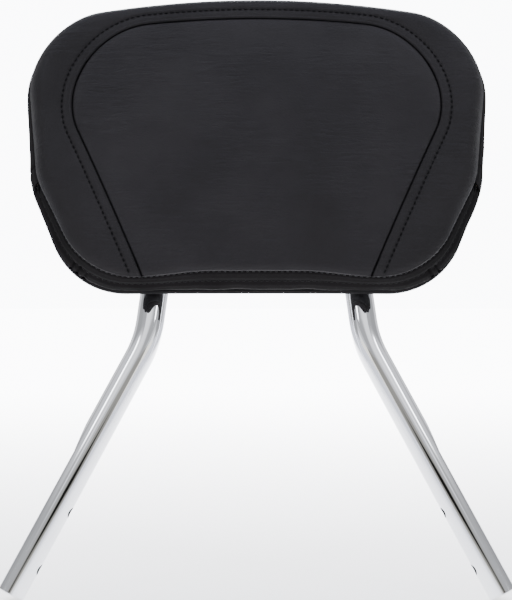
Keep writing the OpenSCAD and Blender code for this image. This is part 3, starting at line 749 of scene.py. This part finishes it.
def new_finish(name, **constants):
    material = bpy.data.materials.new(name)
    material.use_nodes = True
    tree = material.node_tree
    shader = tree.nodes["Principled BSDF"]
    for key, value in constants.items():
        shader.inputs[key.replace("_", " ")].default_value = value
    wires = Wire(tree)
    place = wires.node("ShaderNodeTexCoord", out="Object")
    return material, shader, wires, place


def plug(tree, wire, socket):
    tree.links.new(wire.socket, socket)


print("shader helper ready")

# %% [markdown]
# ### Leather
# Smooth upholstery leather has a fine pebble, long shallow creases where it has stretched, and a
# dull shine that varies from place to place. Colour, shine and relief all come from noise in the
# object's own coordinates, so the texture has no seams, and the value per vertex paints shade into
# the seams and folds, near black.

# %% leather
def leather(name, tone, rough=0.45, crease=1.0, gloss=0.22):
    material, shader, wires, place = new_finish(name, Specular_IOR_Level=gloss)
    tree = material.node_tree
    cloud = wires.node("ShaderNodeTexNoise", put={"Vector": place, "Scale": 14.0, "Detail": 4.0})
    fine = wires.node("ShaderNodeTexNoise", put={"Vector": place, "Scale": 420.0, "Detail": 3.0})
    pebble = wires.node("ShaderNodeTexVoronoi", put={"Vector": place, "Scale": 950.0, "Randomness": 0.9},
                        feature="SMOOTH_F1")
    long_way = wires.node("ShaderNodeMapping", put={"Vector": place, "Scale": (38.0, 60.0, 260.0),
                                                    "Rotation": (0.0, 0.12, 0.0)})
    creases = wires.node("ShaderNodeTexNoise", put={"Vector": long_way, "Scale": 1.0, "Detail": 5.0,
                                                    "Roughness": 0.62, "Distortion": 0.7})
    patch = wires.node("ShaderNodeTexNoise", put={"Vector": place, "Scale": 18.0, "Detail": 2.0})
    dark = wires.node("ShaderNodeAttribute", out="Fac", attribute_name="painted_shade")
    shade = cloud.between(0.3, 0.75)
    colour = shade.blend(tuple(c * 0.82 for c in tone), tuple(c * 1.15 for c in tone))
    # painted shade: seams, folds and the turned-under rim go near black by the value per vertex
    colour = dark.between(0.15, 0.95).blend(colour, (0.0006, 0.0006, 0.0007))
    plug(tree, colour, shader.inputs["Base Color"])
    dull = rough + 0.10 * (fine - 0.5) + 0.12 * (cloud - 0.5) + 0.4 * dark
    plug(tree, dull, shader.inputs["Roughness"])
    relief = creases * patch.between(0.35, 0.6) * (2.0 * crease) + fine * 0.25 + pebble * 0.30
    bump = wires.node("ShaderNodeBump", put={"Strength": 0.8, "Distance": 0.0008, "Height": relief})
    plug(tree, bump, shader.inputs["Normal"])
    return material


# the boxing and the binding are the front's leather in a darker tone, which is painted shade for the pad's rim
# and underside
LEATHER = {
    "centre_leather": leather("centre_leather", (0.0140, 0.0129, 0.0138), gloss=0.11),
    "border_leather": leather("border_leather", (0.0138, 0.0128, 0.0134), rough=0.5, gloss=0.09),
    "boxing_leather": leather("boxing_leather", (0.0096, 0.0090, 0.0091), rough=0.7, crease=0.5, gloss=0.012),
    "binding_leather": leather("binding_leather", (0.0078, 0.0076, 0.0078), rough=0.7, crease=0.5, gloss=0.012),
}
for piece, slot, nodes in ((centre_leather, "centre_leather", ["centre_panel"]),
                           (border_leather, "border_leather", ["border_panel"]),
                           (lower_leather, "boxing_leather", ["lower_boxing"]),
                           (upper_leather, "boxing_leather", ["upper_boxing"]),
                           (binding_leather, "binding_leather", ["edge_binding"])):
    piece.data.materials.append(LEATHER[slot])
    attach(piece, "root")
    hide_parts(*nodes)
print("leather on", len(LEATHER), "slots")

# %% [markdown]
# ### Thread and foam
# Bonded thread is twisted from three plies, so a fine wave along each stitch catches the light. The
# foam is cream, with open cells, which a Voronoi texture gives in one node. No side of the finished
# pad shows it, but it stays a piece of its own.

# %% thread and foam
def thread_finish(name, tone, gloss):
    material, shader, wires, place = new_finish(name, Specular_IOR_Level=gloss)
    ply = wires.node("ShaderNodeTexWave", out="Fac", bands_direction="DIAGONAL",
                     put={"Vector": place, "Scale": 620.0, "Distortion": 1.5})
    plug(material.node_tree, ply.blend(tuple(c * 0.6 for c in tone), tone), shader.inputs["Base Color"])
    plug(material.node_tree, 0.5 + 0.15 * ply, shader.inputs["Roughness"])
    bump = wires.node("ShaderNodeBump", put={"Strength": 0.6, "Distance": 0.0002, "Height": ply})
    plug(material.node_tree, bump, shader.inputs["Normal"])
    return material


black_thread = thread_finish("black_thread", (0.0012, 0.0012, 0.0013), 0.1)
# painted highlight: this thread is pale only to show where the edge seams glint
painted_glint_thread = thread_finish("painted_glint_thread", (0.024, 0.024, 0.026), 0.2)
for row, finish, slot in ((top_thread, black_thread, "border_leather"),
                          (box_thread, black_thread, "boxing_leather"),
                          (edge_low_thread, painted_glint_thread, "boxing_leather"),
                          (edge_top_thread, painted_glint_thread, "boxing_leather")):
    row.data.materials.append(finish)
    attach(row, "root")

foam, shader, wires, place = new_finish("foam", Roughness=0.95, Specular_IOR_Level=0.2)
cells = wires.node("ShaderNodeTexVoronoi", put={"Vector": place, "Scale": 700.0}, feature="SMOOTH_F1")
cream = cells.between(0.1, 0.7).blend((0.30, 0.25, 0.15), (0.68, 0.61, 0.42))
plug(foam.node_tree, cream, shader.inputs["Base Color"])
bump = wires.node("ShaderNodeBump", put={"Strength": 0.7, "Distance": 0.0006, "Height": cells})
plug(foam.node_tree, bump, shader.inputs["Normal"])
cushion.data.materials.append(foam)
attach(cushion, "root")
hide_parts("foam_pad")
print("thread and foam finished")

# %% [markdown]
# ### Chrome
# Polished chrome is a mirror with a faint cool tint, so the studio below matters more than this
# shader. Inside the tube there is hardly any plating. The hoop is one CAD node, so its bore can't
# have a material of its own: the shader finds it by the distance from a leg's axis.

# %% chrome
SPLAY = math.radians(27)
LEG_END_X = 0.1713  # where a leg's axis meets the height 0, in metres


def bore_share(wires, place):
    """1 inside the bore of a straight leg, 0 on its outside."""
    def vector_maths(operation, a, b=None, out=0):
        put = {0: a} if b is None else {0: a, 1: b}
        return wires.node("ShaderNodeVectorMath", out=out, put=put, operation=operation)

    wires.node("ShaderNodeSeparateXYZ", put={"Vector": place})
    x, y, z = (Wire(wires.tree, wires.made.outputs[i]) for i in range(3))
    both_legs = wires.node("ShaderNodeCombineXYZ", put={0: wires.maths("ABSOLUTE", x), 1: y, 2: z})
    s, c = math.sin(SPLAY), math.cos(SPLAY)
    axis = (-s, c * math.sin(LEAN), c * math.cos(LEAN))
    away = vector_maths("SUBTRACT", both_legs, (LEG_END_X, 0.0, 0.0))
    reach = vector_maths("LENGTH", vector_maths("CROSS_PRODUCT", away, axis), out="Value")
    # the flats pressed on the outside also lie close to the axis, but they are plated
    outward = (c, s * math.sin(LEAN), s * math.cos(LEAN))
    side = vector_maths("DOT_PRODUCT", away, outward, out="Value")
    return (reach.between(0.0101, 0.0107, 1.0, 0.0) * side.between(0.0045, 0.0055, 1.0, 0.0)
            * z.between(0.12, 0.13, 1.0, 0.0))


def chrome(name, rough=0.035):
    material, shader, wires, place = new_finish(name, Metallic=1.0)
    tree = material.node_tree
    haze = wires.node("ShaderNodeTexNoise", put={"Vector": place, "Scale": 60.0, "Detail": 3.0})
    bright = haze.between(0.3, 0.8).blend((0.80, 0.81, 0.835), (0.83, 0.84, 0.86))
    bore = bore_share(wires, place)
    plug(tree, bore.blend(bright, (0.022, 0.020, 0.019)), shader.inputs["Base Color"])
    plug(tree, rough + 0.03 * haze.between(0.5, 0.8) + 0.5 * bore, shader.inputs["Roughness"])
    return material


def dress(node, material):
    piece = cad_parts[node]
    for slot in piece.material_slots:
        slot.material = material


dress("upright_hoop", chrome("chromed_tube"))
print("chrome on the hoop")

# %% [markdown]
# ### Straps and welds
# The straps are plated without being polished first, so the rolling marks of the bar still show: a
# noise stretched along the bar. A weld bead freezes in small ripples, here a distorted wave. Both
# are too fine to model.


# %% plated straps and welds
def bumped(material, shader, wires, height, strength, distance):
    bump = wires.node("ShaderNodeBump", put={"Strength": strength, "Distance": distance, "Height": height})
    plug(material.node_tree, bump, shader.inputs["Normal"])


strap_plate, shader, wires, place = new_finish("plated_strap", Metallic=1.0)
along = wires.node("ShaderNodeMapping", put={"Vector": place, "Scale": (6.0, 300.0, 300.0)})
marks = wires.node("ShaderNodeTexNoise", put={"Vector": along, "Scale": 1.0, "Detail": 4.0})
steel = marks.between(0.3, 0.7).blend((0.62, 0.63, 0.65), (0.78, 0.79, 0.81))
plug(strap_plate.node_tree, steel, shader.inputs["Base Color"])
plug(strap_plate.node_tree, 0.14 + 0.16 * marks, shader.inputs["Roughness"])
bumped(strap_plate, shader, wires, marks, 0.2, 0.0002)
dress("lower_strap", strap_plate)
dress("upper_strap", strap_plate)

weld_plate, shader, wires, place = new_finish("plated_weld", Metallic=1.0)
ripple = wires.node("ShaderNodeTexWave", out="Fac", bands_direction="DIAGONAL",
                    put={"Vector": place, "Scale": 180.0, "Distortion": 3.0, "Detail": 2.0})
plug(weld_plate.node_tree, ripple.blend((0.42, 0.42, 0.43), (0.70, 0.70, 0.71)), shader.inputs["Base Color"])
plug(weld_plate.node_tree, 0.2 + 0.2 * ripple, shader.inputs["Roughness"])
bumped(weld_plate, shader, wires, ripple, 0.6, 0.0004)
dress("strap_welds", weld_plate)
print("plate on straps and welds")

# %% [markdown]
# ### Zinc
# Bolts and washers are zinc plated: grey, and duller than chrome. The tee nuts have the yellow
# kind. One function makes both, with a cloudy colour and very fine marks.


# %% zinc
def zinc(name, pale, dull):
    material, shader, wires, place = new_finish(name, Metallic=1.0)
    cloud = wires.node("ShaderNodeTexNoise", put={"Vector": place, "Scale": 220.0, "Detail": 3.0})
    grit = wires.node("ShaderNodeTexNoise", put={"Vector": place, "Scale": 1800.0, "Detail": 2.0})
    plug(material.node_tree, cloud.between(0.35, 0.7).blend(pale, dull), shader.inputs["Base Color"])
    plug(material.node_tree, 0.26 + 0.2 * cloud, shader.inputs["Roughness"])
    bumped(material, shader, wires, grit, 0.25, 0.0001)
    return material


clear_zinc = zinc("zinc", (0.66, 0.68, 0.72), (0.48, 0.50, 0.54))
for node in ("pad_bolts", "lock_washers", "flat_washers"):
    dress(node, clear_zinc)
dress("tee_nuts", zinc("yellow_zinc", (0.72, 0.60, 0.30), (0.55, 0.46, 0.28)))
print("zinc on bolts, washers and tee nuts")

# %% [markdown]
# ### Plywood and vinyl
# The board is birch plywood, with long grain on its faces and thin glue lines on its edge: a noise
# and a wave that are both turned with the lean. The panel that closes the back is a coarse vinyl.

# %% plywood and vinyl
plywood, shader, wires, place = new_finish("plywood", Roughness=0.6)
lean_back = wires.node("ShaderNodeMapping", put={"Vector": place, "Rotation": (LEAN, 0.0, 0.0)})
grain_way = wires.node("ShaderNodeMapping", put={"Vector": lean_back, "Scale": (220.0, 60.0, 14.0)})
grain = wires.node("ShaderNodeTexNoise",
                   put={"Vector": grain_way, "Scale": 1.0, "Detail": 6.0, "Distortion": 0.6})
plies = wires.node("ShaderNodeTexWave", out="Fac", bands_direction="Y",
                   put={"Vector": lean_back, "Scale": 100.0, "Distortion": 0.3})
wood = grain.between(0.3, 0.7).blend((0.46, 0.31, 0.17), (0.70, 0.53, 0.33))
wood = plies.between(0.0, 0.12, 0.5, 0.0).blend(wood, (0.16, 0.08, 0.035))
plug(plywood.node_tree, wood, shader.inputs["Base Color"])
bumped(plywood, shader, wires, grain, 0.3, 0.0003)
dress("back_board", plywood)

back_vinyl, shader, wires, place = new_finish("back_vinyl", Specular_IOR_Level=0.3)
grain = wires.node("ShaderNodeTexVoronoi", feature="SMOOTH_F1",
                   put={"Vector": place, "Scale": 520.0, "Randomness": 0.85})
cloud = wires.node("ShaderNodeTexNoise", put={"Vector": place, "Scale": 11.0, "Detail": 4.0})
black = cloud.between(0.3, 0.7).blend((0.0085, 0.0085, 0.0092), (0.0130, 0.0130, 0.0138))
plug(back_vinyl.node_tree, black, shader.inputs["Base Color"])
plug(back_vinyl.node_tree, 0.42 + 0.2 * grain, shader.inputs["Roughness"])
bumped(back_vinyl, shader, wires, grain + 0.6 * cloud, 0.5, 0.0006)
dress("back_cover", back_vinyl)
print("finishes on all", len(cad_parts), "nodes")

# %% [markdown]
# ## The floor
# The bar stands on a pale floor, which turns into a lit sweep behind it, as a light table does. An
# emission that grows with the distance does this without a lamp. It stays inside the wedge that the
# camera sees, so that it doesn't light the back of the pad.

# %% floor
floor_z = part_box("upright_hoop")[0][2]
GLOW_FROM, GLOW_FULL = -0.8, 2.2  # along the line of sight, in metres
WEDGE_SLOPE, WEDGE_IN, WEDGE_OUT = 0.25, 0.25, 0.7
bpy.ops.object.select_all(action="DESELECT")
bpy.ops.mesh.primitive_grid_add(x_subdivisions=40, y_subdivisions=40, size=60)
floor = bpy.context.object
floor.name = "floor"
floor.data.transform(Matrix.Translation((0, 0, floor_z)))
paint, shader, wires, place = new_finish("floor_paint_and_glow", Roughness=0.9, Specular_IOR_Level=0.1,
                                         Emission_Strength=1.0)
speck = wires.node("ShaderNodeTexNoise", put={"Vector": place, "Scale": 3.0, "Detail": 2.0})
pale = speck.between(0.2, 0.8).blend((0.80, 0.80, 0.805), (0.82, 0.82, 0.825))
plug(paint.node_tree, pale, shader.inputs["Base Color"])
wires.node("ShaderNodeSeparateXYZ", put={"Vector": place})
across, depth = (Wire(paint.node_tree, wires.made.outputs[i]) for i in range(2))
beside = wires.maths("ABSOLUTE", across) - depth * WEDGE_SLOPE
# painted light: the floor glows more the further it lies behind the bar, as a lit sweep, though it is no lamp
glow = depth.between(GLOW_FROM, GLOW_FULL) * beside.between(WEDGE_IN, WEDGE_OUT, 1.0, 0.0)
plug(paint.node_tree, glow.blend((0, 0, 0), (10.0, 10.0, 10.1)), shader.inputs["Emission Color"])
floor.data.materials.append(paint)
print("floor at", round(floor_z, 4))

# %% [markdown]
# ## The surround
# Chrome is seen by what it mirrors, so the light is drawn into the world shader, by direction: `turn`
# is the angle away from the camera's side, and `rise` the height. A wall of soft light is brightest
# high up. In front there are two small white cards on each side, a dim band, and a low black arch
# like a table seen against the wall. The sides are grey, and straight behind the bar all is white.
# Lamps could light the leather as well, but the chrome would show each of them as a dot.

# %% world
world = bpy.data.worlds.new("studio")
bpy.context.scene.world = world
world.use_nodes = True
sky = Wire(world.node_tree)
look = sky.node("ShaderNodeTexCoord", out="Generated")
sky.node("ShaderNodeSeparateXYZ", put={"Vector": look})
split = sky.made
east, north, up = (Wire(world.node_tree, split.outputs[i]) for i in range(3))
turn = sky.maths("ABSOLUTE", sky.maths("ARCTAN2", east, north * -1.0)) * math.degrees(1)
rise = sky.maths("ARCSINE", up) * math.degrees(1)


def band(value, middle, half, soft):
    """1 within `half` of the middle, fading to 0 over `soft`, all in degrees."""
    return sky.maths("ABSOLUTE", value - middle).between(half, half + soft, 1.0, 0.0)


def lay(under, mask, light):
    """The light where the mask is 1, and what was there before where it is 0."""
    return under + mask * (under * -1.0 + light)


level = rise.between(38.0, 60.0, 1.1, 2.7)
level = lay(level, rise.between(72.0, 80.0), 0.6)
level = lay(level, band(rise, 22.0, 7.0, 4.0) * band(turn, 38.0, 28.0, 8.0), 0.62)
level = lay(level, band(rise, 36.0, 8.0, 6.0) * band(turn, 0.0, 26.0, 8.0), 1.7)
level = lay(level, band(rise, 16.0, 12.0, 6.0) * band(turn, 88.0, 18.0, 10.0), 0.52)
level = lay(level, band(rise, 3.0, 3.5, 2.5) * band(turn, 0.0, 60.0, 10.0), 2.0)
level = lay(level, band(rise, 42.0, 8.0, 3.0) * band(turn, 43.0, 7.0, 3.0), 2.2)
level = lay(level, band(rise, 42.0, 8.0, 2.0) * band(turn, 51.0, 3.4, 2.0), 10.0)
level = lay(level, band(rise, 21.0, 2.4, 1.2) * band(turn, 46.5, 3.0, 2.0), 10.0)
arch = rise + turn * 0.3
level = lay(level, band(arch, 14.0, 5.0, 3.0) * band(turn, 0.0, 32.0, 6.0), 0.42)
level = lay(level, band(arch, 13.5, 1.9, 1.0) * band(turn, 0.0, 17.0, 6.0), 0.012)
level = lay(level, turn.between(112.0, 128.0), 1.3)
level = lay(level, turn.between(112.0, 128.0) * band(rise, 52.0, 12.0, 8.0), 0.4)
level = lay(level, turn.between(158.0, 166.0) * rise.between(30.0, 50.0, 1.0, 0.0), 11.0)
hue = band(arch, 14.0, 5.0, 3.0).blend((0.975, 0.985, 1.02), (1.03, 1.0, 0.93))
hue = rise.between(30.0, 60.0).blend(hue, (0.93, 0.97, 1.15))
back_sheet = world.node_tree.nodes["Background"]
light = sky.node("ShaderNodeVectorMath", put={0: hue, "Scale": level}, operation="SCALE")
plug(world.node_tree, light, back_sheet.inputs["Color"])
print("surround drawn with", len(world.node_tree.nodes), "nodes")

# %% [markdown]
# ## The camera
# The photograph was taken from straight ahead, about a metre away, with the lens at the height of
# the pad's lower edge: the legs look alike, and the pad's underside is seen edge-on.

# %% camera
lens = bpy.data.cameras.new("camera")
lens.sensor_fit, lens.sensor_width = "HORIZONTAL", 36.0
lens.lens = 84.87
camera = bpy.data.objects.new("camera", lens)
bpy.context.collection.objects.link(camera)
camera.location = (-0.00055, -0.899, 0.1958)
camera.rotation_euler = (math.radians(90), 0, 0)
bpy.context.scene.camera = camera
print("camera with a lens of", lens.lens, "mm")
